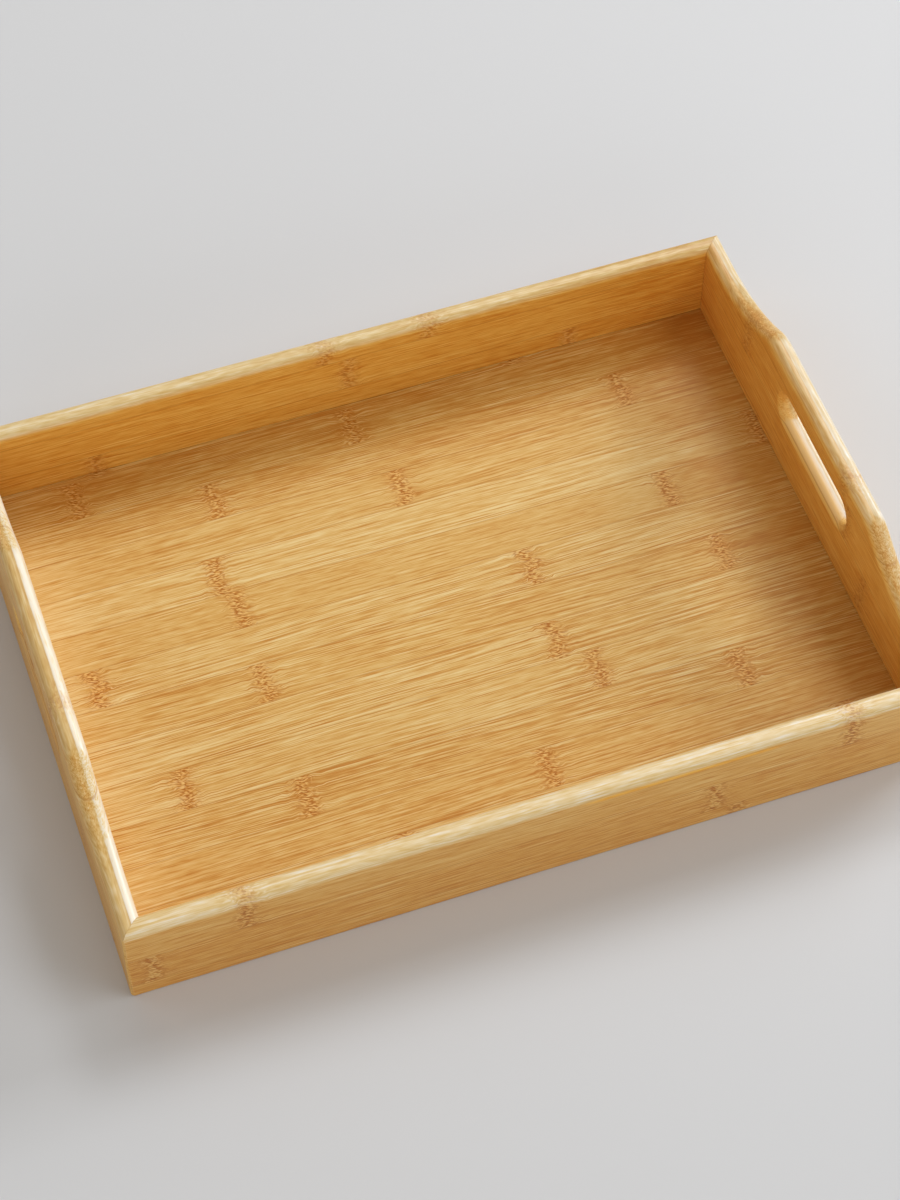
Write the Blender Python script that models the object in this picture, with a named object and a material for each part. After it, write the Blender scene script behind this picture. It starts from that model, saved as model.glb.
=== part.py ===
"""Bamboo serving tray: two long rails and two handle ends, mitred and splined at the
corners, round a base panel that sits in a groove.

Metres, +Z up. The origin is the middle of the footprint, on the surface the tray stands
on. X runs along the tray and Y across it, and -Y is the front.
"""

import math

import bmesh
import bpy
from mathutils import Matrix

# Frame, outside sizes
tray_length = 0.380
tray_width = 0.280
wall_thickness = 0.010
rail_height = 0.0515

# Handle ends
handle_height = 0.0695
handle_flat = 0.102  # the level part on top, between the two ramps
crest_radius = 0.022
shoulder_radius = 0.112

# Hand slots, at the middle of the wall, where they are narrowest
slot_length = 0.074
slot_height = 0.016
grip_bar = 0.016  # wood left above a slot

# Rounded and eased edges
edge_round = 0.004
foot_round = 0.001
corner_round = 0.0012
least_flat = 0.0004  # kept between the two roundings of a thin wall

# Base panel and its groove
base_thickness = 0.005
base_recess = 0.0035  # from the standing surface up to the underside of the panel
groove_depth = 0.0045
panel_end_gap = 0.0004  # room at the bottom of the groove for the panel to swell
panel_ease = 0.0004

# Loose splines that lock the mitres
spline_thickness = 0.003
spline_width = 0.008
spline_height = 0.030
spline_clear = 0.004  # from the top of the groove up to a spline
spline_place_share = 0.58  # along the mitre, from the outside corner to the inside one
spline_ease = 0.0003

# Clearances
mitre_gap = 0.0003
fit_gap = 0.0003
overrun = 0.010  # how far a blank or cutter runs past what it cuts

# Facets
arc_steps = 12
slot_end_steps = 16
corner_steps = 3
round_resolution = 4
foot_segments = 2
ease_segments = 1
weld_distance = 0.000002
smooth_angle = math.radians(40)
flat_angle = math.radians(1)

# Worked out from the sizes above
edge_radius = min(edge_round, wall_thickness / 2 - least_flat)
ramp_radii = crest_radius + shoulder_radius
ramp_angle = math.acos(1 - (handle_height - rail_height) / ramp_radii)  # where they meet
inner_length = tray_length - 2 * wall_thickness
inner_width = tray_width - 2 * wall_thickness
base_middle = base_recess + base_thickness / 2
groove_top = base_recess + base_thickness + fit_gap
spline_middle = groove_top + spline_clear + spline_height / 2

bamboo_base = (0.690, 0.405, 0.133, 1.0)
bamboo_rail = (0.720, 0.440, 0.160, 1.0)
bamboo_inner = (0.640, 0.360, 0.120, 1.0)


def clear_scene():
    for old in list(bpy.data.objects):
        bpy.data.objects.remove(old)


def new_collection(name):
    made = bpy.data.collections.new(name)
    bpy.context.scene.collection.children.link(made)
    return made


def new_material(name, colour, roughness):
    material = bpy.data.materials.new(name)
    material.use_nodes = True
    shader = material.node_tree.nodes["Principled BSDF"]
    shader.inputs["Base Color"].default_value = colour
    shader.inputs["Roughness"].default_value = roughness
    shader.inputs["Metallic"].default_value = 0
    return material


def arc_points(centre, radius, start, end, steps):
    """Points of an arc, both ends included. Angles run from +X towards +Y."""
    angles = [start + (end - start) * i / steps for i in range(steps + 1)]
    return [
        (centre[0] + radius * math.cos(a), centre[1] + radius * math.sin(a))
        for a in angles
    ]


def mirrored(points):
    """The same points on the other side of X = 0, in reverse, so that an outline closes."""
    return [(-x, y) for x, y in reversed(points)]


def plate_mesh(name, outlines, thickness, rounding):
    """A flat plate round Z = 0, cut to closed outlines, with its rims rounded inwards."""
    curve = bpy.data.curves.new(name, "CURVE")
    curve.dimensions = "2D"
    curve.fill_mode = "BOTH"
    curve.extrude = thickness / 2 - rounding
    curve.bevel_depth = rounding
    curve.bevel_resolution = round_resolution
    curve.offset = -rounding
    for outline in outlines:
        spline = curve.splines.new("POLY")
        spline.points.add(len(outline) - 1)
        for point, (x, y) in zip(spline.points, outline):
            point.co = (x, y, 0, 1)
        spline.use_cyclic_u = True
    holder = bpy.data.objects.new(name, curve)
    bpy.context.scene.collection.objects.link(holder)
    bpy.context.view_layer.update()
    graph = bpy.context.evaluated_depsgraph_get()
    mesh = bpy.data.meshes.new_from_object(holder.evaluated_get(graph))
    bpy.data.objects.remove(holder)
    bpy.data.curves.remove(curve)
    bm = bmesh.new()
    bm.from_mesh(mesh)
    bmesh.ops.remove_doubles(bm, verts=bm.verts, dist=weld_distance)
    bmesh.ops.recalc_face_normals(bm, faces=bm.faces)
    bm.to_mesh(mesh)
    bm.free()
    mesh.name = name
    return mesh


def box_mesh(name, size, ease=0):
    """A box round its own centre. Its edges are eased if ease is given."""
    bm = bmesh.new()
    bmesh.ops.create_cube(bm, size=1)
    bmesh.ops.scale(bm, vec=size, verts=bm.verts)
    if ease:
        bmesh.ops.bevel(
            bm,
            geom=bm.edges,
            offset=ease,
            offset_type="OFFSET",
            segments=ease_segments,
            affect="EDGES",
        )
    mesh = bpy.data.meshes.new(name)
    bm.to_mesh(mesh)
    bm.free()
    return mesh


def add_object(name, mesh, collection, location, turn=0):
    made = bpy.data.objects.new(name, mesh)
    made.location = location
    made.rotation_euler = (0, 0, turn)
    collection.objects.link(made)
    return made


def add_cutter(name, mesh, location, turn=0):
    cutter = add_object(name, mesh, cutters, location, turn)
    cutter.hide_render = True
    cutter.display_type = "WIRE"
    return cutter


def cut(target, operation, cutter):
    modifier = target.modifiers.new(cutter.name, "BOOLEAN")
    modifier.operation = operation
    modifier.object = cutter
    modifier.solver = "EXACT"


def stand_up(mesh):
    """Turns a plate drawn in X and Y so that it stands in X and Z."""
    mesh.transform(Matrix.Rotation(math.pi / 2, 4, "X"))


def rail_outline():
    """A long rail from the side: level on top, and overrunning at both ends and below."""
    reach = tray_length / 2 + overrun
    return [(-reach, -overrun), (reach, -overrun), (reach, rail_height), (-reach, rail_height)]


def handle_outline():
    """A handle end from the side: low shoulders, an S-shaped ramp and a level grip.

    Each ramp is a hollow shoulder arc that runs into a small crest arc.
    """
    reach = tray_width / 2 + overrun
    crest_place = handle_flat / 2
    shoulder_place = crest_place + ramp_radii * math.sin(ramp_angle)
    shoulder = arc_points(
        (shoulder_place, rail_height + shoulder_radius),
        shoulder_radius,
        -math.pi / 2,
        -math.pi / 2 - ramp_angle,
        arc_steps,
    )
    crest = arc_points(
        (crest_place, handle_height - crest_radius),
        crest_radius,
        math.pi / 2 - ramp_angle,
        math.pi / 2,
        arc_steps,
    )
    right = [(reach, -overrun), (reach, rail_height), *shoulder, *crest[1:]]
    return right + mirrored(right)


def slot_outline():
    """The hand slot: a stadium shape with half-round ends."""
    radius = slot_height / 2
    end_centre = slot_length / 2 - radius
    height = handle_height - grip_bar - radius
    right = arc_points(
        (end_centre, height), radius, -math.pi / 2, math.pi / 2, slot_end_steps
    )
    left = [(-x, z) for x, z in reversed(right)]
    return right + left


def plan_outline(length):
    """A wall from above: mitred at both ends, with the tray's outside corners rounded."""
    slip = math.asin(min(mitre_gap / 2 / corner_round, 1))
    corner = arc_points(
        (length / 2 - corner_round, corner_round - wall_thickness / 2),
        corner_round,
        -math.pi / 2,
        -math.pi / 4 - slip,
        corner_steps,
    )
    inner_end = length / 2 - wall_thickness - mitre_gap / math.sqrt(2)
    right = [*corner, (inner_end, wall_thickness / 2)]
    return right + mirrored(right)


def plan_mesh(name, length):
    """The space that a wall may fill, as a standing prism whose foot edges are rounded."""
    height = handle_height + overrun
    mesh = plate_mesh(name, [plan_outline(length)], height, 0)
    bm = bmesh.new()
    bm.from_mesh(mesh)
    bmesh.ops.translate(bm, vec=(0, 0, height / 2), verts=bm.verts)
    bmesh.ops.dissolve_limit(
        bm, angle_limit=flat_angle, verts=bm.verts, edges=bm.edges
    )
    mitre_start = length / 2 - wall_thickness
    foot = [
        edge
        for edge in bm.edges
        if all(vert.co.z < foot_round for vert in edge.verts)
        and not is_mitre(edge, mitre_start)
    ]
    bmesh.ops.bevel(
        bm,
        geom=foot,
        offset=foot_round,
        offset_type="OFFSET",
        segments=foot_segments,
        profile=0.5,
        affect="EDGES",
    )
    bm.to_mesh(mesh)
    bm.free()
    return mesh


def is_mitre(edge, mitre_start):
    """True for an edge that crosses the wall from its inside face to a rounded corner."""
    depths = [vert.co.y for vert in edge.verts]
    beyond = max(abs(vert.co.x) for vert in edge.verts) > mitre_start
    return beyond and max(depths) - min(depths) > wall_thickness / 2


def add_wall(name, blank, plan, location, turn, material):
    """A wall: its blank held to the plan's space, then grooved for the panel."""
    wall = add_object(name, blank, tray, location, turn)
    wall.data.materials.clear()
    wall.data.materials.append(material)
    space = add_cutter(name + "_plan", plan, location, turn)
    cut(wall, "INTERSECT", space)
    cut(wall, "DIFFERENCE", groove_cutter)
    return wall


def corner_place(side_x, side_y):
    """Middle of a spline, in plan, at the corner on these sides."""
    inset = wall_thickness * spline_place_share
    return (
        side_x * (tray_length / 2 - inset),
        side_y * (tray_width / 2 - inset),
        spline_middle,
    )


def add_spline(name, side_x, side_y, walls, material):
    """A loose spline across one mitre, and its pocket in both walls that meet there."""
    turn = math.pi / 4 if side_x * side_y < 0 else -math.pi / 4
    place = corner_place(side_x, side_y)
    pocket = add_cutter(name + "_pocket", pocket_mesh, place, turn)
    for wall in walls:
        cut(wall, "DIFFERENCE", pocket)
    spline = add_object(name, spline_mesh, tray, place, turn)
    spline.data.materials.clear()
    spline.data.materials.append(material)
    return spline


clear_scene()
tray = new_collection("bamboo_tray")
cutters = new_collection("cutters")

rail_bamboo = new_material("rail_bamboo", bamboo_rail, 0.38)
handle_bamboo = new_material("handle_bamboo", bamboo_rail, 0.38)
base_bamboo = new_material("base_bamboo", bamboo_base, 0.40)
spline_bamboo = new_material("spline_bamboo", bamboo_inner, 0.60)

groove_cutter = add_cutter(
    "panel_groove",
    box_mesh(
        "panel_groove",
        (
            inner_length + 2 * groove_depth,
            inner_width + 2 * groove_depth,
            base_thickness + 2 * fit_gap,
        ),
    ),
    (0, 0, base_middle),
)

rail_blank = plate_mesh("rail_blank", [rail_outline()], wall_thickness, edge_radius)
handle_blank = plate_mesh(
    "handle_blank", [handle_outline(), slot_outline()], wall_thickness, edge_radius
)
for blank_mesh in (rail_blank, handle_blank):
    stand_up(blank_mesh)
    blank_mesh.shade_smooth()
    blank_mesh.set_sharp_from_angle(angle=smooth_angle)

rail_plan = plan_mesh("rail_plan", tray_length)
end_plan = plan_mesh("end_plan", tray_width)

front_y = (wall_thickness - tray_width) / 2
right_x = (tray_length - wall_thickness) / 2
front_rail = add_wall("front_rail", rail_blank, rail_plan, (0, front_y, 0), 0, rail_bamboo)
back_rail = add_wall(
    "back_rail", rail_blank.copy(), rail_plan, (0, -front_y, 0), math.pi, rail_bamboo
)
right_end = add_wall(
    "right_handle_end", handle_blank, end_plan, (right_x, 0, 0), math.pi / 2, handle_bamboo
)
left_end = add_wall(
    "left_handle_end",
    handle_blank.copy(),
    end_plan,
    (-right_x, 0, 0),
    -math.pi / 2,
    handle_bamboo,
)

panel_reach = groove_depth - panel_end_gap
base_panel = add_object(
    "base_panel",
    box_mesh(
        "base_panel",
        (inner_length + 2 * panel_reach, inner_width + 2 * panel_reach, base_thickness),
        panel_ease,
    ),
    tray,
    (0, 0, base_middle),
)
base_panel.data.materials.append(base_bamboo)

spline_mesh = box_mesh(
    "corner_spline", (spline_width, spline_thickness, spline_height), spline_ease
)
pocket_mesh = box_mesh(
    "spline_pocket",
    (
        spline_width + 2 * fit_gap,
        spline_thickness + 2 * fit_gap,
        spline_height + 2 * fit_gap,
    ),
)
add_spline("spline_front_left", -1, -1, (front_rail, left_end), spline_bamboo)
add_spline("spline_front_right", 1, -1, (front_rail, right_end), spline_bamboo)
add_spline("spline_back_left", -1, 1, (back_rail, left_end), spline_bamboo)
add_spline("spline_back_right", 1, 1, (back_rail, right_end), spline_bamboo)
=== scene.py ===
# Bamboo serving tray: the looks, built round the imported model. Metres, +Z up.
import math

import bmesh
import bpy
from mathutils import Matrix, Quaternion, Vector


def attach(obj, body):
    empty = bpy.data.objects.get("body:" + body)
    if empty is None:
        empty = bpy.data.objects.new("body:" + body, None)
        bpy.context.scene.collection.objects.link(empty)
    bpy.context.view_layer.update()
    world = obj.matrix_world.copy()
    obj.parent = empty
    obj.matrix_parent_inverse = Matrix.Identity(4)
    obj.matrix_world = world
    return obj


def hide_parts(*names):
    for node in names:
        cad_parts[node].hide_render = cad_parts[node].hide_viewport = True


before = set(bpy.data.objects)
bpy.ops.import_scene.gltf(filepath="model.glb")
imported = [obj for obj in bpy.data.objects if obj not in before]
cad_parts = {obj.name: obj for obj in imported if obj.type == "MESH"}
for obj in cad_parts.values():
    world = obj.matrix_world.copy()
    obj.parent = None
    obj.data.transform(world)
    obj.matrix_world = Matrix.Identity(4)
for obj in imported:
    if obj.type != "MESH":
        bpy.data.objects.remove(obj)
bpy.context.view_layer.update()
print("Frame loaded,", len(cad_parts), "nodes")

# Camera, where the photograph was taken from
cameraView = {
    "aim": (0.0065, 0.0103, 0.0),
    "distance": 1.3911,
    "azimuth": 19.6,
    "elevation": 55.38,
    "roll": 0.38,
    "lens": 89.42,
    "sensor": 36,
    "clip": (0.05, 50),
}


def addCamera(values):
    azimuth = math.radians(values["azimuth"])
    elevation = math.radians(values["elevation"])
    back = Vector(
        (
            -math.sin(azimuth) * math.cos(elevation),
            -math.cos(azimuth) * math.cos(elevation),
            math.sin(elevation),
        )
    )
    data = bpy.data.cameras.new("camera")
    data.lens = values["lens"]
    data.sensor_width = values["sensor"]
    data.clip_start, data.clip_end = values["clip"]
    camera = bpy.data.objects.new("camera", data)
    bpy.context.scene.collection.objects.link(camera)
    camera.rotation_mode = "QUATERNION"
    camera.location = Vector(values["aim"]) + back * values["distance"]
    roll = Quaternion((0, 0, 1), math.radians(values["roll"]))
    camera.rotation_quaternion = (-back).to_track_quat("-Z", "Y") @ roll
    bpy.context.scene.camera = camera


addCamera(cameraView)

# Light: soft panes behind, right and low on the right, fills from the front and the left
# and the warm room all round. A level is what the lamp adds to a white floor
lamps = {
    "skylight": {
        "place": (1.05, 2.55, 3.0),
        "size": (2.7, 3.0),
        "level": 0.090,
        "facing": "down",
    },
    "keyWindow": {
        "place": (1.72, 2.25, 3.0),
        "size": (1.2, 1.2),
        "level": 0.105,
        "facing": "down",
    },
    "sideWindow": {
        "place": (2.70, -1.50, 3.0),
        "size": (2.7, 2.7),
        "level": 0.150,
        "facing": "down",
    },
    "lowWindow": {
        "place": (6.60, 2.25, 3.0),
        "size": (4.5, 2.3),
        "level": 0.135,
        "facing": "down",
    },
    "edgeWindow": {
        "place": (4.75, 3.50, 2.50),
        "size": (1.4, 1.4),
        "level": 0.035,
        "facing": "tray",
    },
    "frontFill": {
        "place": (-1.19, -3.66, 1.10),
        "size": (3.6, 1.8),
        "level": 0.066,
        "facing": "tray",
    },
    "backFill": {
        "place": (-2.50, 1.60, 2.20),
        "size": (1.5, 1.5),
        "level": 0.030,
        "facing": "tray",
    },
}
room = {"paneColour": (1.0, 1.02, 1.045), "colour": (1.0, 0.895, 0.75), "strength": 0.330}


def addLamp(name, values, colour):
    place = Vector(values["place"])
    direction = place.normalized()
    # what a lamp adds to the floor falls with its distance and with its slant
    slant = direction.z ** (2 if values["facing"] == "down" else 1)
    data = bpy.data.lights.new(name, "AREA")
    data.shape = "RECTANGLE"
    data.color = colour
    data.size, data.size_y = values["size"]
    data.energy = values["level"] * (math.pi * place.length) ** 2 / slant
    lamp = bpy.data.objects.new(name, data)
    bpy.context.scene.collection.objects.link(lamp)
    lamp.location = place
    if values["facing"] == "tray":
        lamp.rotation_mode = "QUATERNION"
        lamp.rotation_quaternion = (-direction).to_track_quat("-Z", "Y")


def addLights(values):
    for name, lamp in lamps.items():
        addLamp(name, lamp, values["paneColour"])
    world = bpy.data.worlds.new("room")
    world.use_nodes = True
    background = world.node_tree.nodes["Background"]
    background.inputs["Color"].default_value = (*values["colour"], 1)
    background.inputs["Strength"].default_value = values["strength"]
    bpy.context.scene.world = world


addLights(room)
bpy.context.scene.view_settings.view_transform = "Standard"
print("Camera and lights placed")


# Node helpers
def addNode(tree, kind, inputs=None, **settings):
    made = tree.nodes.new(kind)
    for key, value in settings.items():
        setattr(made, key, value)
    for key, value in (inputs or {}).items():
        if isinstance(value, bpy.types.NodeSocket):
            tree.links.new(value, made.inputs[key])
        else:
            made.inputs[key].default_value = value
    return made


def calc(tree, operation, a, b=0.0, c=0.0):
    made = addNode(tree, "ShaderNodeMath", {0: a, 1: b, 2: c}, operation=operation)
    return made.outputs[0]


def vectorCalc(tree, operation, a, b):
    made = addNode(tree, "ShaderNodeVectorMath", {0: a, 1: b}, operation=operation)
    return made.outputs[0]


def mixColour(tree, share, a, b, blend="MIX"):
    made = addNode(
        tree,
        "ShaderNodeMix",
        {0: share, 6: a, 7: b},
        data_type="RGBA",
        blend_type=blend,
    )
    return made.outputs[2]


def rescale(tree, value, low, high, newLow=0.0, newHigh=1.0):
    made = addNode(
        tree,
        "ShaderNodeMapRange",
        {
            "Value": value,
            "From Min": low,
            "From Max": high,
            "To Min": newLow,
            "To Max": newHigh,
        },
        interpolation_type="SMOOTHSTEP",
    )
    return made.outputs["Result"]


def vectorOf(tree, x, y, z):
    return addNode(tree, "ShaderNodeCombineXYZ", {0: x, 1: y, 2: z}).outputs[0]


def partsOf(tree, vector):
    return addNode(tree, "ShaderNodeSeparateXYZ", {0: vector}).outputs


def noiseOf(tree, vector, detail=2.0, roughness=0.5):
    made = addNode(
        tree,
        "ShaderNodeTexNoise",
        {"Vector": vector, "Scale": 1.0, "Detail": detail, "Roughness": roughness},
        noise_dimensions="3D",
    )
    return made.outputs[0]


def toneRamp(tree, tone, shades):
    ramp = addNode(tree, "ShaderNodeValToRGB", {0: tone})
    stops = ramp.color_ramp.elements
    while len(stops) < len(shades):
        stops.new(0.5)
    for stop, (place, shade) in zip(stops, shades):
        stop.position = place
        stop.color = (*shade, 1)
    return ramp.outputs[0]


def startGroup(name, inputs, outputs):
    group = bpy.data.node_groups.new(name, "ShaderNodeTree")
    for label, kind, value in inputs:
        socket = group.interface.new_socket(label, in_out="INPUT", socket_type=kind)
        if value is not None:
            socket.default_value = value
    for label, kind in outputs:
        group.interface.new_socket(label, in_out="OUTPUT", socket_type=kind)
    entry = group.nodes.new("NodeGroupInput")
    leave = group.nodes.new("NodeGroupOutput")
    return group, entry.outputs, leave.inputs


numberKind, vectorKind = "NodeSocketFloat", "NodeSocketVector"
colourKind = "NodeSocketColor"
white = (1.0, 1.0, 1.0, 1.0)

# Fibres: long streaks along a strip, dots where it is cut across. Each size is along the
# grain, across the strip and through the board
fibres = {
    "seedShift": (1.37, 0.173, 0.091),
    "warpSize": (0.070, 0.012, 0.012),
    "warpReach": 0.0020,
    "tilt": 0.012,
    "tiltStep": 2.3,
    "line": {"size": (0.100, 0.0011, 0.0017), "detail": 2.0, "share": 0.47},
    "band": {"size": (0.220, 0.0040, 0.0060), "detail": 1.0, "share": 0.07},
    "hair": {"size": (0.038, 0.00046, 0.0008), "detail": 1.0, "share": 2.45},
    "short": {"size": (0.0080, 0.0008, 0.0015), "detail": 1.0, "share": 0.75},
    "hairHeight": 0.6,
}


def scaledNoise(tree, place, size, detail, roughness=0.55):
    scaled = vectorCalc(tree, "MULTIPLY", place, [1 / length for length in size])
    return calc(tree, "SUBTRACT", noiseOf(tree, scaled, detail, roughness), 0.5)


def makeFibreGroup(values):
    group, entry, leave = startGroup(
        "bambooFibres",
        [
            ("Grain", vectorKind, None),
            ("Seed", numberKind, 0.0),
            ("Streak", numberKind, 1.0),
        ],
        [("Tone", numberKind), ("Height", numberKind)],
    )
    shift = [calc(group, "MULTIPLY", entry["Seed"], step) for step in values["seedShift"]]
    moved = vectorCalc(group, "ADD", entry["Grain"], vectorOf(group, *shift))
    warp = scaledNoise(group, moved, values["warpSize"], 0.0)
    lean = calc(group, "SINE", calc(group, "MULTIPLY", entry["Seed"], values["tiltStep"]))
    lean = calc(group, "MULTIPLY", lean, values["tilt"])
    aside = calc(group, "MULTIPLY", warp, values["warpReach"])
    aside = calc(group, "MULTIPLY_ADD", partsOf(group, entry["Grain"])[0], lean, aside)
    moved = vectorCalc(group, "ADD", moved, vectorOf(group, 0.0, aside, 0.0))
    layers = {}
    for key in ("line", "band", "hair", "short"):
        layers[key] = scaledNoise(group, moved, values[key]["size"], values[key]["detail"])
    streaks = 0.0
    for key in ("line", "band", "hair"):
        streaks = calc(group, "MULTIPLY_ADD", layers[key], values[key]["share"], streaks)
    tone = calc(group, "MULTIPLY_ADD", streaks, entry["Streak"], 0.5)
    tone = calc(group, "MULTIPLY_ADD", layers["short"], values["short"]["share"], tone)
    group.links.new(tone, leave["Tone"])
    height = calc(group, "MULTIPLY_ADD", layers["hair"], values["hairHeight"], layers["line"])
    group.links.new(height, leave["Height"])
    return group


# Knuckles: the rings of the cane, where the fibres knot
knuckles = {
    "ringWidth": 0.0042,
    "haloWidth": 0.0090,
    "wander": 0.0042,
    "wanderSize": 0.0075,
    "seedStep": 5.3,
    "slant": 0.6,
    "slantZero": 0.35,
    "slantSize": (0.005, 0.005, 0.005),
    "fleckSize": (0.0023, 0.00062, 0.0012),
    "bend": 0.0030,
    "bendSize": (0.006, 0.004, 0.004),
}


def makeKnuckleGroup(values):
    group, entry, leave = startGroup(
        "bambooKnuckle",
        [
            ("Grain", vectorKind, None),
            ("Seed", numberKind, 0.0),
            ("First", numberKind, -1.0),
            ("Second", numberKind, -1.0),
        ],
        [
            ("Ring", numberKind),
            ("Halo", numberKind),
            ("Fleck", numberKind),
            ("Grain", vectorKind),
        ],
    )
    along, across, depth = partsOf(group, entry["Grain"])
    toFirst = calc(group, "SUBTRACT", along, entry["First"])
    toSecond = calc(group, "SUBTRACT", along, entry["Second"])
    distances = [calc(group, "ABSOLUTE", gap) for gap in (toSecond, toFirst)]
    secondNearer = calc(group, "LESS_THAN", *distances)
    gap = calc(group, "SUBTRACT", toSecond, toFirst)
    nearest = calc(group, "MULTIPLY_ADD", gap, secondNearer, toFirst)
    seedPlace = calc(group, "MULTIPLY", entry["Seed"], values["seedStep"])
    spot = [calc(group, "DIVIDE", part, values["wanderSize"]) for part in (across, depth)]
    wander = noiseOf(group, vectorOf(group, seedPlace, *spot), 1.0)
    wander = calc(group, "SUBTRACT", wander, 0.5)
    offset = calc(group, "MULTIPLY_ADD", wander, values["wander"] * 2, nearest)

    def noiseHere(aside, size, detail):
        x = calc(group, "MULTIPLY_ADD", offset, 1 / size[0], seedPlace)
        y = calc(group, "DIVIDE", aside, size[1])
        z = calc(group, "DIVIDE", depth, size[2])
        return noiseOf(group, vectorOf(group, x, y, z), detail)

    masks = []
    for width in (values["ringWidth"], values["haloWidth"]):
        ratio = calc(group, "DIVIDE", offset, width)
        squared = calc(group, "MULTIPLY", ratio, ratio)
        masks.append(calc(group, "EXPONENT", calc(group, "MULTIPLY", squared, -1.0)))
    ring, halo = masks
    lean = noiseHere(across, values["slantSize"], 0.0)
    lean = calc(group, "SUBTRACT", lean, values["slantZero"])
    lean = calc(group, "MULTIPLY", lean, values["slant"] * 2)
    slanted = calc(group, "MULTIPLY_ADD", offset, lean, across)
    fleck = noiseHere(slanted, values["fleckSize"], 1.0)
    bend = calc(group, "SUBTRACT", noiseHere(across, values["bendSize"], 1.0), 0.5)
    shift = calc(group, "MULTIPLY", calc(group, "MULTIPLY", bend, values["bend"] * 2), halo)
    group.links.new(ring, leave["Ring"])
    group.links.new(halo, leave["Halo"])
    group.links.new(calc(group, "SUBTRACT", fleck, 0.5), leave["Fleck"])
    bent = vectorOf(group, along, calc(group, "ADD", across, shift), depth)
    group.links.new(bent, leave["Grain"])
    return group


fibreGroup = makeFibreGroup(fibres)
knuckleGroup = makeKnuckleGroup(knuckles)

# Bamboo as a whole. A tone of 0 to 1 picks a shade, a crown is a pale rounded top, partly
# paler wood and partly painted light where the tops face up, and an end is where a face cuts
# across the grain
bamboo = {
    "tones": [
        (0.00, (0.535, 0.215, 0.029)),
        (0.28, (0.622, 0.316, 0.064)),
        (0.50, (0.695, 0.415, 0.119)),
        (0.74, (0.755, 0.512, 0.190)),
        (1.00, (0.810, 0.618, 0.295)),
    ],
    "crownTones": [
        (0.00, (0.550, 0.280, 0.052)),
        (0.30, (0.660, 0.420, 0.128)),
        (0.55, (0.745, 0.542, 0.232)),
        (0.80, (0.815, 0.662, 0.395)),
        (1.00, (0.855, 0.785, 0.655)),
    ],
    "haloStreak": 0.5,
    "crownStreak": -0.50,
    "endStreak": -0.65,
    "haloLift": -0.07,
    "endSize": (0.0080, 0.00034, 0.00042),
    "endShare": 1.50,
    "endLift": 0.18,
    "endCrownLift": -0.42,
    "crownRing": -0.55,
    "endRing": -0.55,
    "knuckleTint": (0.650, 0.285, 0.045, 1),
    "knuckleShare": 0.60,
    "knuckleDark": (0.430, 0.140, 0.012, 1),
    "darkFleck": (0.00, 0.08, 0.0, 1.0),
    "knucklePale": (0.850, 0.600, 0.215, 1),
    "paleFleck": (-0.03, -0.10, 0.0, 0.65),
    "jointDark": (0.460, 0.180, 0.020, 1),
    "jointShare": 0.45,
    "roughness": 0.46,
    "fibreRoughness": 0.25,
    "endRoughness": 0.10,
    "coat": 0.10,
    "crownCoat": 0.60,
    "endCoat": -0.5,
    "fleckHeight": -3.0,
    "jointHeight": -0.5,
}


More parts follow.
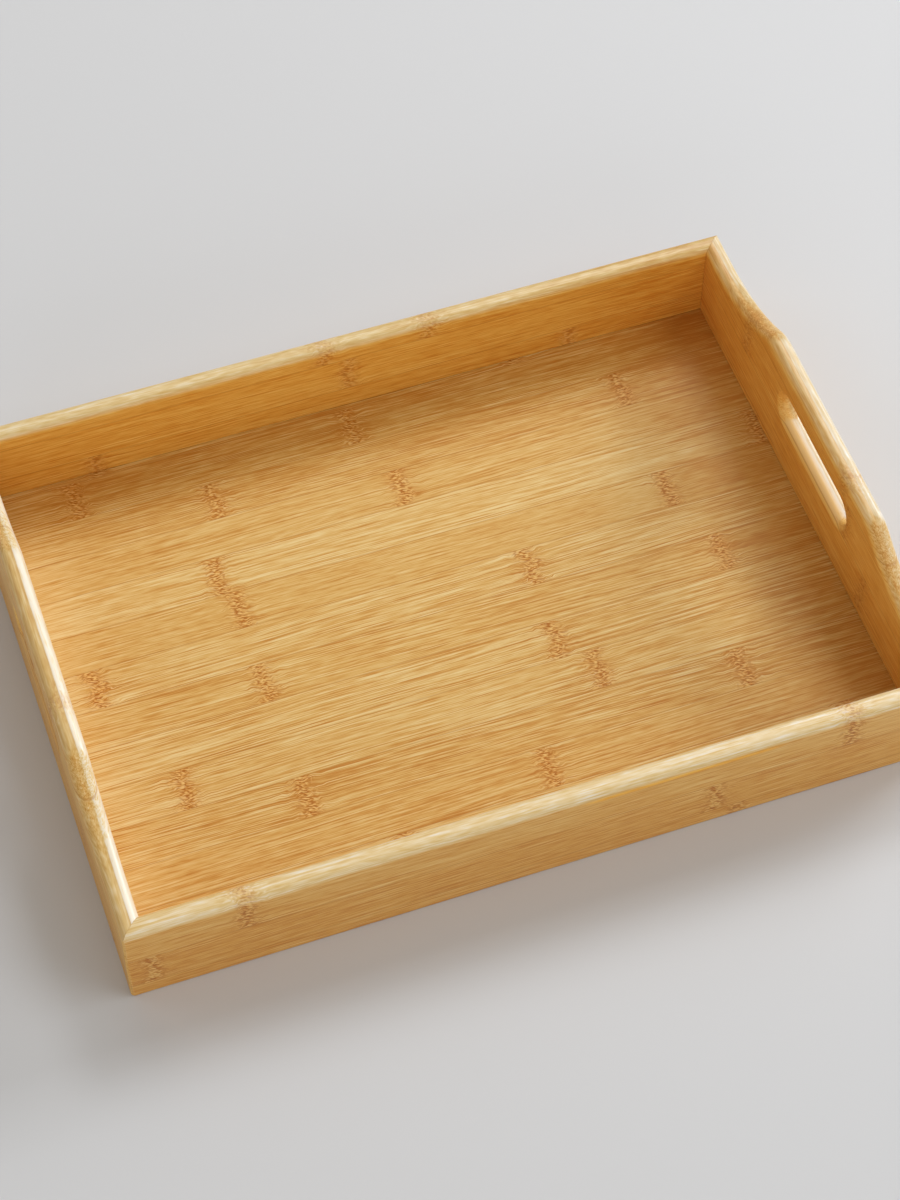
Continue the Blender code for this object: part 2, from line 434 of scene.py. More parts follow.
def makeBambooGroup(values):
    group, entry, leave = startGroup(
        "bambooBoard",
        [
            ("Grain", vectorKind, None),
            ("Seed", numberKind, 0.0),
            ("First", numberKind, -1.0),
            ("Second", numberKind, -1.0),
            ("Lift", numberKind, 0.0),
            ("Streak", numberKind, 1.0),
            ("Joint", numberKind, 0.0),
            ("Knuckle", numberKind, 1.0),
            ("Crown", numberKind, 0.0),
            ("End Cut", numberKind, 0.0),
            ("Tint", colourKind, white),
            ("Crown Tint", colourKind, white),
        ],
        [
            ("Color", colourKind),
            ("Roughness", numberKind),
            ("Coat", numberKind),
            ("Height", numberKind),
        ],
    )
    crown, endCut = entry["Crown"], entry["End Cut"]
    knuckleInputs = {key: entry[key] for key in ("Grain", "Seed", "First", "Second")}
    knuckle = addNode(
        group, "ShaderNodeGroup", knuckleInputs, node_tree=knuckleGroup
    ).outputs
    streak = calc(group, "MULTIPLY_ADD", knuckle["Halo"], values["haloStreak"], 1.0)
    streak = calc(group, "MULTIPLY", entry["Streak"], streak)
    for mask, share in ((crown, values["crownStreak"]), (endCut, values["endStreak"])):
        calmer = calc(group, "MULTIPLY_ADD", mask, share, 1.0)
        streak = calc(group, "MULTIPLY", streak, calmer)
    fibreInputs = {"Grain": knuckle["Grain"], "Seed": entry["Seed"], "Streak": streak}
    fibre = addNode(group, "ShaderNodeGroup", fibreInputs, node_tree=fibreGroup).outputs

    tone = calc(group, "ADD", fibre["Tone"], entry["Lift"])
    tone = calc(group, "MULTIPLY_ADD", knuckle["Halo"], values["haloLift"], tone)
    endNoise = scaledNoise(group, entry["Grain"], values["endSize"], 1.0)
    endTone = calc(group, "MULTIPLY", endNoise, endCut)
    tone = calc(group, "MULTIPLY_ADD", endTone, values["endShare"], tone)
    endLift = calc(group, "MULTIPLY_ADD", crown, values["endCrownLift"], values["endLift"])
    tone = calc(group, "MULTIPLY_ADD", endCut, endLift, tone)
    shade = toneRamp(group, tone, values["tones"])
    shade = mixColour(group, 1.0, shade, entry["Tint"], "MULTIPLY")
    crownShade = toneRamp(group, tone, values["crownTones"])
    crownShade = mixColour(group, 1.0, crownShade, entry["Crown Tint"], "MULTIPLY")
    shade = mixColour(group, crown, shade, crownShade)

    ring = calc(group, "MULTIPLY_ADD", crown, values["crownRing"], 1.0)
    ring = calc(group, "MULTIPLY_ADD", endCut, values["endRing"], ring)
    ring = calc(group, "MULTIPLY", ring, entry["Knuckle"])
    ring = calc(group, "MULTIPLY", knuckle["Ring"], ring)
    tinted = calc(group, "MULTIPLY", ring, values["knuckleShare"])
    shade = mixColour(group, tinted, shade, values["knuckleTint"])
    for key, reach in (("knuckleDark", "darkFleck"), ("knucklePale", "paleFleck")):
        flecked = rescale(group, knuckle["Fleck"], *values[reach])
        flecked = calc(group, "MULTIPLY", ring, flecked)
        shade = mixColour(group, flecked, shade, values[key])
    jointShare = calc(group, "MULTIPLY", entry["Joint"], values["jointShare"])
    shade = mixColour(group, jointShare, shade, values["jointDark"])
    group.links.new(shade, leave["Color"])

    roughness = calc(
        group, "MULTIPLY_ADD", fibre["Height"], values["fibreRoughness"], values["roughness"]
    )
    roughness = calc(group, "MULTIPLY_ADD", endCut, values["endRoughness"], roughness)
    group.links.new(roughness, leave["Roughness"])
    polished = calc(group, "MULTIPLY_ADD", endCut, values["endCoat"], 1.0)
    polished = calc(group, "MULTIPLY", crown, polished)
    coat = calc(group, "MULTIPLY_ADD", polished, values["crownCoat"], values["coat"])
    group.links.new(coat, leave["Coat"])
    knot = calc(group, "MULTIPLY", knuckle["Fleck"], values["fleckHeight"])
    height = calc(group, "ADD", fibre["Height"], calc(group, "MULTIPLY", ring, knot))
    height = calc(group, "MULTIPLY_ADD", entry["Joint"], values["jointHeight"], height)
    group.links.new(height, leave["Height"])
    return group


bambooGroup = makeBambooGroup(bamboo)

# What all boards share. A strip's knuckles lie within knuckleReach either side of the
# middle. A pair of numbers is where a mask starts and where it is full, and four say its
# least and its most as well
boardLook = {
    "knuckleReach": 0.25,
    "streak": 1.45,
    "skinStep": 2.4,
    "skinStreak": 0.22,
    "edgeStreak": 0.25,
    "patchSize": (0.13, 0.007),
    "patchRange": (0.35, 0.65, 0.84, 1.16),
    "jointWidth": 0.0004,
    "jointEdge": (2.0, 0.6),
    "endFacing": (0.08, 0.40),
    # where the painted light on the rounds starts and is full
    "roundFacing": (0.05, 0.50),
    "riseHeight": (0.036, 0.051),
    "veinFade": 0.015,
    "bump": {"Strength": 0.35, "Distance": 0.00012},
    "coatRoughness": 0.24,
}
# What both handle ends share: their glue line, and the far layer, at the larger X, paler
# partly as its own wood and partly as painted highlight on the side towards the lamps
plyLook = {
    "slotTop": (0.047, 0.044),
    "stepWidth": 0.0004,
    "softWidth": 0.0018,
    "liftStep": 0.4,
    "farFacing": (0.005, 0.08),
    "lineLength": 0.045,
    "lineBreak": (0.40, 0.58),
    "lineShare": 0.15,
    "lineWidth": (0.00035, 0.0001),
    "rampFacing": (0.05, 0.30),
    "slotFacing": (0.02, 0.40),
    "slotEndCrown": -0.85,
}


def readStrips(tree, board, across):
    # the values of each strip are kept in a ramp of constant steps
    strips, reach = board["strips"], boardLook["knuckleReach"]
    count = calc(tree, "SUBTRACT", across, board["stripStart"])
    count = calc(tree, "DIVIDE", count, board["stripWidth"])
    index = calc(tree, "FLOOR", count)
    share = calc(tree, "DIVIDE", calc(tree, "ADD", index, 0.5), len(strips))
    ramp = addNode(tree, "ShaderNodeValToRGB", {0: share})
    ramp.color_ramp.interpolation = "CONSTANT"
    stops = ramp.color_ramp.elements
    while len(stops) < len(strips):
        stops.new(1.0)
    for order, (stop, (first, second, lift, streak)) in enumerate(zip(stops, strips)):
        stop.position = order / len(strips)
        knots = [place / reach / 2 + 0.5 for place in (first, second)]
        stop.color = (*knots, lift + 0.5, streak / 2)
    told = addNode(tree, "ShaderNodeSeparateColor", {0: ramp.outputs[0]}).outputs
    first, second = (calc(tree, "MULTIPLY_ADD", told[i], reach * 2, -reach) for i in (0, 1))
    return {
        "count": count,
        "index": index,
        "first": first,
        "second": second,
        "lift": told[2],
        "streak": ramp.outputs["Alpha"],
    }


def addStreaks(tree, strip, seed, along, across, aside, edge):
    # the side of a strip that lay nearer the skin of the cane has more lines
    values = boardLook
    skin = calc(tree, "SINE", calc(tree, "MULTIPLY", seed, values["skinStep"]))
    skin = calc(tree, "MULTIPLY", aside, skin)
    streak = calc(tree, "MULTIPLY_ADD", skin, values["skinStreak"], values["streak"])
    squared = calc(tree, "MULTIPLY", edge, edge)
    streak = calc(tree, "MULTIPLY_ADD", squared, values["edgeStreak"], streak)
    streak = calc(tree, "MULTIPLY", streak, strip["streak"])
    spot = [
        calc(tree, "DIVIDE", part, size)
        for part, size in zip((along, across), values["patchSize"])
    ]
    patches = noiseOf(tree, vectorOf(tree, *spot, seed), 1.0)
    return calc(tree, "MULTIPLY", streak, rescale(tree, patches, *values["patchRange"]))


def addPly(tree, ply, masks, along, depth, seed):
    # the glue line between the layers is soft where it is cut across
    inSlot = rescale(tree, masks["height"], *plyLook["slotTop"])
    masks["inSlot"] = inSlot
    masks["slotEnd"] = calc(tree, "MULTIPLY", inSlot, masks["endCut"])
    beyond = calc(tree, "SUBTRACT", depth, ply["place"])
    soft = calc(tree, "MAXIMUM", inSlot, masks["endCut"])
    width = calc(tree, "MULTIPLY_ADD", soft, plyLook["softWidth"], plyLook["stepWidth"])
    ratio = calc(tree, "DIVIDE", beyond, width)
    masks["isFar"] = rescale(tree, ratio, -1.0, 1.0)
    masks["farRough"] = calc(tree, "MULTIPLY_ADD", masks["endCut"], -ply["farRough"], 1.0)
    masks["farCrown"] = rescale(tree, masks["up"], *plyLook["farFacing"])
    whole = calc(tree, "SUBTRACT", 1.0, masks["slotEnd"])
    masks["onTop"] = calc(tree, "MULTIPLY", masks["farCrown"], whole)
    # the far layer's lift: partly its paler wood, partly painted highlight
    step = plyLook["liftStep"]
    further = rescale(tree, ratio, -step, step, 0.0, ply["lift"])
    further = calc(tree, "MULTIPLY", further, masks["farRough"])
    broken = calc(tree, "DIVIDE", along, plyLook["lineLength"])
    broken = noiseOf(tree, vectorOf(tree, broken, seed, 0.0))
    shown = rescale(tree, broken, *plyLook["lineBreak"], plyLook["lineShare"], ply["line"])
    shown = calc(tree, "MULTIPLY", shown, calc(tree, "SUBTRACT", 1.0, soft))
    line = rescale(tree, calc(tree, "ABSOLUTE", beyond), *plyLook["lineWidth"])
    return calc(tree, "MULTIPLY", further, masks["onTop"]), calc(tree, "MULTIPLY", line, shown)


def addPlyCrown(tree, board, masks, crown, lift):
    # near and far layer have their own crown and lift, less of it on a ramp or in the slot.
    # The far layer's outward round is lightened, a painted highlight, and the slot floor,
    # painted light
    ply, up, isFar = board["ply"], masks["up"], masks["isFar"]
    outward = calc(tree, "MULTIPLY", calc(tree, "SUBTRACT", 1.0, up), isFar)
    outward = calc(tree, "MULTIPLY", outward, masks["onTop"])
    lift = calc(tree, "MULTIPLY_ADD", outward, ply["outerPaintedHighlight"], lift)
    nearSlot, farSlot = (
        rescale(tree, masks["height"], *reversed(plyLook["slotTop"]), share, 1.0)
        for share in ply["slotCrown"]
    )
    farCrown = calc(tree, "MULTIPLY", masks["farCrown"], farSlot)
    farCrown = calc(tree, "MULTIPLY", farCrown, masks["farRough"])
    crown = calc(tree, "MULTIPLY", crown, ply["nearCrown"])
    crown = calc(tree, "MULTIPLY", crown, nearSlot)
    nearRough = calc(tree, "MULTIPLY_ADD", masks["endCut"], -ply["nearRough"], 1.0)
    crown = calc(tree, "MULTIPLY", crown, nearRough)
    onRamp = rescale(tree, up, *plyLook["rampFacing"])
    onRamp = calc(tree, "MULTIPLY", masks["endCut"], onRamp)
    onRamp = calc(tree, "MULTIPLY", onRamp, calc(tree, "SUBTRACT", 1.0, masks["inSlot"]))
    lift = calc(tree, "MULTIPLY_ADD", onRamp, ply["rampLift"], lift)
    gain = calc(tree, "SUBTRACT", farCrown, crown)
    crown = calc(tree, "MULTIPLY_ADD", gain, isFar, crown)
    bare = calc(tree, "MULTIPLY_ADD", masks["slotEnd"], plyLook["slotEndCrown"], 1.0)
    crown = calc(tree, "MULTIPLY", crown, bare)
    # painted light: the slot floor lighter, most on the near side
    onSlot = rescale(tree, up, *plyLook["slotFacing"])
    onSlot = calc(tree, "MULTIPLY", masks["inSlot"], onSlot)
    near, far = ply["slotPaintedLight"]
    slotPaintedLight = calc(tree, "MULTIPLY_ADD", isFar, far - near, near)
    slotPaintedLight = calc(tree, "MULTIPLY", slotPaintedLight, calc(tree, "SUBTRACT", 1.0, masks["endCut"]))
    return crown, calc(tree, "MULTIPLY_ADD", onSlot, slotPaintedLight, lift)


def veinMask(tree, vein, along, height):
    beside = calc(tree, "ABSOLUTE", calc(tree, "SUBTRACT", height, vein["height"]))
    beside = rescale(tree, beside, vein["width"], 0.0)
    fade = boardLook["veinFade"]
    started = rescale(tree, along, vein["start"], vein["start"] + fade)
    ended = rescale(tree, along, vein["end"], vein["end"] - fade)
    return calc(tree, "MULTIPLY", beside, calc(tree, "MULTIPLY", started, ended))


def makeBoardMaterial(name, axes, board):
    # axes: which way the grain runs, which way the strips lie, and through the board
    material = bpy.data.materials.new(name)
    material.use_nodes = True
    tree = material.node_tree
    shader = tree.nodes["Principled BSDF"]
    spot = addNode(tree, "ShaderNodeTexCoord").outputs
    parts, facing = partsOf(tree, spot["Object"]), partsOf(tree, spot["Normal"])
    along, across, depth = (parts[axis] for axis in axes)
    strip = readStrips(tree, board, across)
    seed = calc(tree, "ADD", strip["index"], board["seed"])
    aside = calc(tree, "MULTIPLY_ADD", calc(tree, "FRACT", strip["count"]), 2.0, -1.0)
    edge = calc(tree, "ABSOLUTE", aside)
    streak = addStreaks(tree, strip, seed, along, across, aside, edge)
    lineShare = boardLook["jointWidth"] / board["stripWidth"]
    joint = rescale(tree, edge, *(1 - lineShare * reach for reach in boardLook["jointEdge"]))
    lift = calc(tree, "ADD", strip["lift"], board["lift"] - 0.5)
    # painted shade and light: a lift along the grain, and rims faded in near the walls
    lift = calc(tree, "MULTIPLY_ADD", along, board.get("paintedShadingDrift", 0.0), lift)
    for axis, start, end, paintedLift in board.get("rims", ()):
        near = rescale(tree, parts[axis], start, end, 0.0, paintedLift)
        lift = calc(tree, "ADD", lift, near)
    endFacing = calc(tree, "ABSOLUTE", facing[axes[0]])
    endCut = rescale(tree, endFacing, *boardLook["endFacing"])
    masks = {"up": facing["Z"], "height": parts["Z"], "endCut": endCut}
    # a wall's tint is painted shade, a deeper orange on its faces
    tint, crown = (*board["tint"], 1), 0.0
    if "vein" in board:
        vein = board["vein"]
        veinShare = veinMask(tree, vein, along, parts["Z"])
        tint = mixColour(tree, veinShare, tint, (*vein["tint"], 1))
    if "ply" in board:
        further, line = addPly(tree, board["ply"], masks, along, depth, seed)
        lift = calc(tree, "ADD", further, lift)
        joint = calc(tree, "MAXIMUM", joint, line)
        tint = mixColour(tree, masks["isFar"], tint, (*board["ply"]["tint"], 1))
    # the crown: paler where the face looks up, partly paler wood and partly painted light
    if "crownEdge" in board:
        crown = rescale(tree, facing["Z"], *board["crownEdge"])
        if "ply" in board:
            crown, lift = addPlyCrown(tree, board, masks, crown, lift)
        # painted light: rounds and tops lighter where they face up
        facings = (*boardLook["roundFacing"], 0.0, board["roundPaintedLight"])
        lift = calc(tree, "ADD", lift, rescale(tree, facing["Z"], *facings))
        lift = calc(tree, "MULTIPLY_ADD", crown, board["crownLift"], lift)
        heights = (*boardLook["riseHeight"], 0.0, board["topLift"])
        lift = calc(tree, "ADD", lift, rescale(tree, parts["Z"], *heights))
    woodInputs = {
        "Grain": vectorOf(tree, along, across, depth),
        "Seed": seed,
        "First": strip["first"],
        "Second": strip["second"],
        "Lift": lift,
        "Streak": streak,
        "Joint": joint,
        "Knuckle": board.get("knuckle", 1.0),
        "Crown": crown,
        "End Cut": endCut,
        "Tint": tint,
        "Crown Tint": (*board.get("crownTint", white[:3]), 1),
    }
    wood = addNode(tree, "ShaderNodeGroup", woodInputs, node_tree=bambooGroup).outputs
    bumpInputs = {**boardLook["bump"], "Height": wood["Height"]}
    bump = addNode(tree, "ShaderNodeBump", bumpInputs)
    tree.links.new(wood["Color"], shader.inputs["Base Color"])
    tree.links.new(wood["Roughness"], shader.inputs["Roughness"])
    tree.links.new(bump.outputs["Normal"], shader.inputs["Normal"])
    if "crownEdge" in board:
        tree.links.new(wood["Coat"], shader.inputs["Coat Weight"])
    else:
        shader.inputs["Coat Weight"].default_value = board["coat"]
    shader.inputs["Specular IOR Level"].default_value = board["gloss"]
    shader.inputs["Coat Roughness"].default_value = boardLook["coatRoughness"]
    return material


# Base panel: strips along X, the first at the front, each with its two knuckles along X,
# how pale it is and how streaky. A painted shading rim fades in a lift from one place to
# another: painted shade near the right and back walls, painted light near the left wall
basePanel = {
    "stripWidth": 0.02117,
    "stripStart": -0.14819,
    "seed": 3.0,
    "lift": 0.0,
    "gloss": 0.18,
    "coat": 0.03,
    "tint": (1.0, 1.0, 1.0),
    # painted shade towards the right and back walls, painted light towards the left wall
    "rims": [
        ("X", 0.110, 0.172, -0.26),
        ("Y", 0.078, 0.122, -0.21),
        ("X", -0.145, -0.175, 0.16),
    ],
    "strips": [
        (-0.1500, 0.0600, 0.02, 1.0),
        (-0.0560, 0.1550, 0.04, 1.1),
        (0.0165, 0.2250, -0.04, 0.9),
        (-0.0908, 0.1180, -0.06, 1.3),
        (-0.1405, 0.0556, 0.06, 1.15),
        (0.0430, 0.2300, 0.05, 1.25),
        (-0.0898, 0.1346, -0.02, 1.0),
        (-0.1631, 0.0461, 0.06, 1.25),
        (-0.0880, 0.1242, 0.00, 0.7),
        (-0.0933, 0.1786, 0.14, 1.0),
        (0.0037, 0.2150, 0.01, 0.75),
        (-0.0814, 0.1250, -0.05, 1.1),
        (-0.1443, -0.0075, 0.00, 1.0),
        (0.0800, -0.1300, 0.03, 1.0),
    ],
}


def dressBasePanel(values):
    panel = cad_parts["base_panel"]
    panel.data.materials.clear()
    panel.data.materials.append(makeBoardMaterial("baseBamboo", "XYZ", values))


dressBasePanel(basePanel)

# Walls
wallShape = {
    "length": 0.380,
    "width": 0.280,
    "thickness": 0.010,
    "railHeight": 0.0515,
    "edgeRound": 0.004,
    "footRound": 0.0013,
    "cornerRound": 0.0018,
    "mitreGap": 0.0001,
    "grooveDepth": 0.0045,
    "grooveLow": 0.0032,
    "grooveHigh": 0.0088,
    "overrun": 0.010,
    "roundSegments": 9,
    "cornerSteps": 6,
    "footSegments": 4,
    "footProfile": 0.5,
    "weld": 0.000002,
    "straightAngle": 0.02,
    "sharpAngle": 30,
    "evenWeight": 100,
}
handleShape = {
    "height": 0.0695,
    "flat": 0.102,
    "crestRadius": 0.022,
    "shoulderRadius": 0.112,
    "slotLength": 0.074,
    "slotHeight": 0.016,
    "gripBar": 0.016,
    "arcSteps": 36,
    "slotSteps": 40,
}


def arcPoints(centre, radius, start, end, steps):
    angles = [start + (end - start) * i / steps for i in range(steps + 1)]
    return [
        (centre[0] + radius * math.cos(a), centre[1] + radius * math.sin(a)) for a in angles
    ]


def mirrored(points):
    return [(-x, y) for x, y in reversed(points)]


def railOutline():
    reach, drop = wallShape["length"] / 2 + wallShape["overrun"], -wallShape["overrun"]
    top = wallShape["railHeight"]
    return [(-reach, drop), (reach, drop), (reach, top), (-reach, top)]


def handleOutline():
    reach, drop = wallShape["width"] / 2 + wallShape["overrun"], -wallShape["overrun"]
    low, high = wallShape["railHeight"], handleShape["height"]
    crest, shoulder = handleShape["crestRadius"], handleShape["shoulderRadius"]
    angle = math.acos(1 - (high - low) / (crest + shoulder))
    crestPlace = handleShape["flat"] / 2
    shoulderPlace = crestPlace + (crest + shoulder) * math.sin(angle)
    steps = handleShape["arcSteps"]
    ramp = arcPoints(
        (shoulderPlace, low + shoulder), shoulder, -math.pi / 2, -math.pi / 2 - angle, steps
    )
    ramp += arcPoints(
        (crestPlace, high - crest), crest, math.pi / 2 - angle, math.pi / 2, steps // 2
    )[1:]
    right = [(reach, drop), (reach, low), *ramp]
    return right + mirrored(right)


def slotOutline():
    radius = handleShape["slotHeight"] / 2
    end = handleShape["slotLength"] / 2 - radius
    height = handleShape["height"] - handleShape["gripBar"] - radius
    right = arcPoints(
        (end, height), radius, -math.pi / 2, math.pi / 2, handleShape["slotSteps"]
    )
    return right + mirrored(right)


def planOutline(length):
    thickness, corner = wallShape["thickness"], wallShape["cornerRound"]
    slip = math.asin(wallShape["mitreGap"] / 2 / corner)
    outside = arcPoints(
        (length / 2 - corner, corner - thickness / 2),
        corner,
        -math.pi / 2,
        -math.pi / 4 - slip,
        wallShape["cornerSteps"],
    )
    innerEnd = length / 2 - thickness - wallShape["mitreGap"] / math.sqrt(2)
    right = [*outside, (innerEnd, thickness / 2)]
    return right + mirrored(right)


def weld(mesh):
    bm = bmesh.new()
    bm.from_mesh(mesh)
    bmesh.ops.remove_doubles(bm, verts=bm.verts, dist=wallShape["weld"])
    bmesh.ops.recalc_face_normals(bm, faces=bm.faces)
    bm.to_mesh(mesh)
    bm.free()


def plateMesh(outlines, thickness, rounding=0.0, segments=1):
    curve = bpy.data.curves.new("plate", "CURVE")
    curve.dimensions = "2D"
    curve.fill_mode = "BOTH"
    curve.extrude = thickness / 2 - rounding
    curve.bevel_depth = rounding
    curve.bevel_resolution = segments - 1
    curve.offset = -rounding
    for outline in outlines:
        spline = curve.splines.new("POLY")
        spline.points.add(len(outline) - 1)
        for point, (x, y) in zip(spline.points, outline):
            point.co = (x, y, 0, 1)
        spline.use_cyclic_u = True
    holder = bpy.data.objects.new("plate", curve)
    bpy.context.scene.collection.objects.link(holder)
    graph = bpy.context.evaluated_depsgraph_get()
    mesh = bpy.data.meshes.new_from_object(holder.evaluated_get(graph))
    bpy.data.objects.remove(holder)
    bpy.data.curves.remove(curve)
    weld(mesh)
    return mesh


def planMesh(length):
    # a wall from above: mitred ends, and a foot that is eased except at the mitres
    height, thickness = handleShape["height"] + wallShape["overrun"], wallShape["thickness"]
    mesh = plateMesh([planOutline(length)], height)
    bm = bmesh.new()
    bm.from_mesh(mesh)
    bmesh.ops.translate(bm, vec=(0, 0, height / 2), verts=bm.verts)
    bmesh.ops.dissolve_limit(
        bm, angle_limit=wallShape["straightAngle"], verts=bm.verts, edges=bm.edges
    )
    foot = []
    for edge in bm.edges:
        depths = [vert.co.y for vert in edge.verts]
        beyond = max(abs(vert.co.x) for vert in edge.verts) > length / 2 - thickness
        isMitre = beyond and max(depths) - min(depths) > thickness / 2
        isLow = all(vert.co.z < height / 2 for vert in edge.verts)
        if isLow and not isMitre:
            foot.append(edge)
    bmesh.ops.bevel(
        bm,
        geom=foot,
        offset=wallShape["footRound"],
        offset_type="OFFSET",
        segments=wallShape["footSegments"],
        profile=wallShape["footProfile"],
        affect="EDGES",
    )
    bm.to_mesh(mesh)
    bm.free()
    return mesh


def placed(name, mesh, location, turn=0.0):
    made = bpy.data.objects.new(name, mesh)
    made.location = location
    made.rotation_euler = (0, 0, turn)
    bpy.context.scene.collection.objects.link(made)
    return made


def grooveMesh():
    x = wallShape["length"] / 2 - wallShape["thickness"] + wallShape["grooveDepth"]
    y = wallShape["width"] / 2 - wallShape["thickness"] + wallShape["grooveDepth"]
    low, high = wallShape["grooveLow"], wallShape["grooveHigh"]
    bm = bmesh.new()
    bmesh.ops.create_cube(bm, size=1)
    bmesh.ops.scale(bm, vec=(x * 2, y * 2, high - low), verts=bm.verts)
    bmesh.ops.translate(bm, vec=(0, 0, (low + high) / 2), verts=bm.verts)
    mesh = bpy.data.meshes.new("groove")
    bm.to_mesh(mesh)
    bm.free()
    return mesh


def cutWall(outlines, length, location, turn, groove):
    blank = plateMesh(
        outlines, wallShape["thickness"], wallShape["edgeRound"], wallShape["roundSegments"]
    )
    blank.transform(Matrix.Rotation(math.pi / 2, 4, "X"))
    wall = placed("blank", blank, location, turn)
    plan = placed("plan", planMesh(length), location, turn)
    for cutter, operation in ((plan, "INTERSECT"), (groove, "DIFFERENCE")):
        modifier = wall.modifiers.new(cutter.name, "BOOLEAN")
        modifier.operation = operation
        modifier.object = cutter
        modifier.solver = "EXACT"
    graph = bpy.context.evaluated_depsgraph_get()
    mesh = bpy.data.meshes.new_from_object(wall.evaluated_get(graph))
    mesh.transform(wall.matrix_world)
    bpy.data.objects.remove(wall)
    bpy.data.objects.remove(plan)
    weld(mesh)
    return mesh


def addWall(name, node, mesh, material):
    mesh.shade_smooth()
    mesh.set_sharp_from_angle(angle=math.radians(wallShape["sharpAngle"]))
    mesh.materials.clear()
    mesh.materials.append(material)
    piece = placed(name, mesh, (0, 0, 0))
    evener = piece.modifiers.new("evenNormals", "WEIGHTED_NORMAL")
    evener.keep_sharp = True
    evener.weight = wallShape["evenWeight"]
    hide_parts(node)
    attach(piece, "root")


# Boards of the walls, their strips from the lowest up. A lift is added to the tone, and a
# painted shading drift is a lift along the grain: painted shade towards the back-right corner,
# painted light towards the front's right end. A crown starts and is full where the face looks
# up that far. A wall's tint makes its faces a deeper orange, painted shade, and its round
# painted light lightens the rounds and tops. In a ply, rough is what a ramp loses of the
# crown, and a pair is for near and far layer
frontBoard = {
    "stripWidth": 0.0215,
    "stripStart": -0.0125,
    "seed": 31.0,
    "lift": 0.03,
    # painted light: the front lighter towards its right end
    "paintedShadingDrift": 0.25,
    "crownEdge": (0.08, 0.62),
    "crownLift": 0.02,
    "roundPaintedLight": 0.04,
    "topLift": 0.07,
    "gloss": 0.40,
    # painted shade: a deeper orange on the faces
    "tint": (0.99, 0.855, 0.65),
    "crownTint": (1.02, 1.0, 0.97),
    "vein": {
        "height": 0.0475,
        "width": 0.0019,
        "start": 0.010,
        "end": 0.112,
        "tint": (1.19, 0.93, 0.30),
    },
    "strips": [
        (0.0893, 0.2400, -0.08, 1.0),
        (-0.1794, 0.0768, -0.08, 1.0),
        (-0.1360, 0.1406, 0.04, 0.9),
        (0.0322, -0.2000, 0.00, 0.9),
    ],
}
backBoard = {
    "stripWidth": 0.0215,
    "stripStart": -0.0220,
    "seed": 47.0,
    "lift": 0.0,
    # painted shade: the back wall darker towards the right corner
    "paintedShadingDrift": -0.5,
    "crownEdge": (0.35, 0.95),
    "crownLift": -0.16,
    "roundPaintedLight": 0.12,
    "topLift": 0.0,
    "gloss": 0.40,
    "knuckle": 0.7,
    # painted shade: the back wall darker towards the right corner
    "rims": [("X", 0.085, 0.165, -0.15)],
    # painted shade: a deeper orange on the faces
    "tint": (1.07, 0.909, 0.50),
    "crownTint": (1.0, 1.02, 1.08),
    "strips": [
        (0.0893, -0.1200, 0.00, 0.8),
        (-0.1300, 0.1100, -0.02, 0.8),
        (-0.0025, 0.1900, 0.02, 0.8),
        (0.0371, -0.0147, 0.03, 0.8),
    ],
}
rightBoard = {
    "stripWidth": 0.0240,
    "stripStart": -0.0120,
    "seed": 61.0,
    "lift": 0.0,
    # painted shade: the right wall darker towards the back corner
    "paintedShadingDrift": -0.9,
    "crownEdge": (0.42, 0.95),
    "crownLift": -0.34,
    "roundPaintedLight": 0.22,
    "topLift": 0.0,
    "gloss": 0.40,
    "knuckle": 0.55,
    # painted shade: a deeper orange on the faces
    "tint": (1.15, 0.968, 0.605),
    # painted shade: a darker top
    "crownTint": (0.88, 0.88, 0.92),
    "ply": {
        "place": 0.1850,
        # the far, outer layer paler: partly its own wood, partly painted highlight
        "lift": 0.30,
        "outerPaintedHighlight": 0.45,
        "tint": (0.98, 0.93, 0.88),
        "line": 0.15,
        "nearCrown": 0.62,
        "nearRough": 0.1,
        "farRough": 0.5,
        "rampLift": -0.26,
        "slotCrown": (0.28, 1.0),
        # painted light on the near side of the slot floor
        "slotPaintedLight": (0.50, -0.02),
    },
    "strips": [
        (0.0600, -0.1100, 0.00, 0.7),
        (-0.0629, 0.2400, 0.00, 0.7),
        (-0.0390, 0.0772, 0.00, 0.7),
        (-0.0312, 0.2400, 0.04, 0.7),
    ],
}
leftBoard = {
    "stripWidth": 0.0240,
    "stripStart": -0.0120,
    "seed": 83.0,
    "lift": 0.04,
    "crownEdge": (0.15, 0.75),
    "crownLift": -0.28,
    "roundPaintedLight": 0.02,
    "topLift": 0.10,
    "gloss": 0.40,
    "knuckle": 0.6,
    # painted shade: a deeper orange on the faces
    "tint": (1.07, 0.924, 0.595),
    "crownTint": (1.0, 0.98, 0.93),
    "ply": {
        "place": -0.1842,
        # the far, inner layer paler: partly its own wood, partly painted highlight
        "lift": 0.60,
        "outerPaintedHighlight": 0.0,
        "tint": (1.0, 0.95, 0.85),
        "line": 0.8,
        "nearCrown": 0.9,
        "nearRough": 0.4,
        "farRough": 0.0,
        "rampLift": -0.05,
        "slotCrown": (0.30, 0.30),
        "slotPaintedLight": (0.0, 0.0),
    },
    "strips": [
        (0.0600, -0.1100, 0.00, 0.8),
        (0.1100, -0.0700, 0.00, 0.8),
        (0.0193, -0.2000, 0.10, 0.8),
        (-0.0312, 0.2400, 0.04, 0.8),
    ],
}


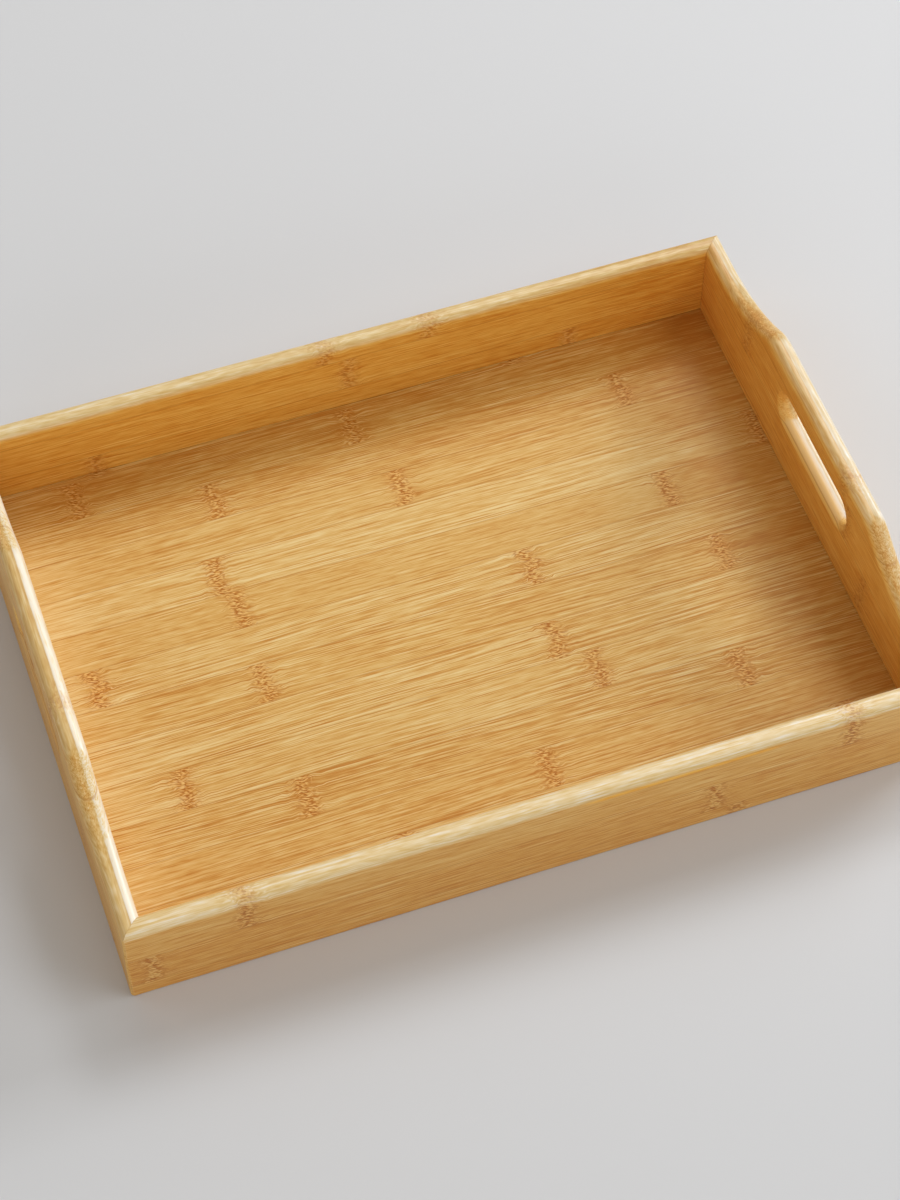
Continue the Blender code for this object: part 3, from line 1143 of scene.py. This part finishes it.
def makeWalls():
    groove = placed("groove", grooveMesh(), (0, 0, 0))
    groove.hide_render = True
    length, width = wallShape["length"], wallShape["width"]
    x, y = ((size - wallShape["thickness"]) / 2 for size in (length, width))
    rail = ("Rail", "rail_bamboo", "XZY", [railOutline()], length)
    handle = ("HandleEnd", "handle_bamboo", "YZX", [handleOutline(), slotOutline()], width)
    for side, node, kind, location, turn, board in (
        ("front", "front_rail", rail, (0, -y, 0), 0, frontBoard),
        ("back", "back_rail", rail, (0, y, 0), math.pi, backBoard),
        ("right", "right_handle_end", handle, (x, 0, 0), math.pi / 2, rightBoard),
        ("left", "left_handle_end", handle, (-x, 0, 0), -math.pi / 2, leftBoard),
    ):
        label, slot, axes, outlines, reach = kind
        material = makeBoardMaterial(side + label + "Bamboo", axes, board)
        mesh = cutWall(outlines, reach, location, turn, groove)
        addWall(side + label, node, mesh, material)
        print("Wall made:", side)
    bpy.data.objects.remove(groove)


makeWalls()

# Splines: short keys of bare bamboo in the mitres, grain up the corner
splineBoard = {
    "stripWidth": 0.0240,
    "stripStart": -0.2000,
    "seed": 101.0,
    "lift": -0.05,
    "gloss": 0.30,
    "coat": 0.0,
    "tint": (0.95, 0.95, 0.95),
    "strips": [(0.2400, -0.2400, 0.00, 1.0)] * 2,
}


def dressSplines(values):
    material = makeBoardMaterial("splineBamboo", "ZXY", values)
    for side in ("front_left", "front_right", "back_left", "back_right"):
        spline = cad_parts["spline_" + side]
        spline.data.materials.clear()
        spline.data.materials.append(material)


dressSplines(splineBoard)

# Floor
floorLook = {"size": 6.0, "colour": (0.640, 0.654, 0.680, 1), "roughness": 0.50}


def makeFloor(values):
    bm = bmesh.new()
    bmesh.ops.create_grid(bm, x_segments=1, y_segments=1, size=values["size"] / 2)
    mesh = bpy.data.meshes.new("floor")
    bm.to_mesh(mesh)
    bm.free()
    material = bpy.data.materials.new("paleTable")
    material.use_nodes = True
    shader = material.node_tree.nodes["Principled BSDF"]
    shader.inputs["Base Color"].default_value = values["colour"]
    shader.inputs["Roughness"].default_value = values["roughness"]
    mesh.materials.append(material)
    floor = placed("floor", mesh, (0, 0, 0))


makeFloor(floorLook)
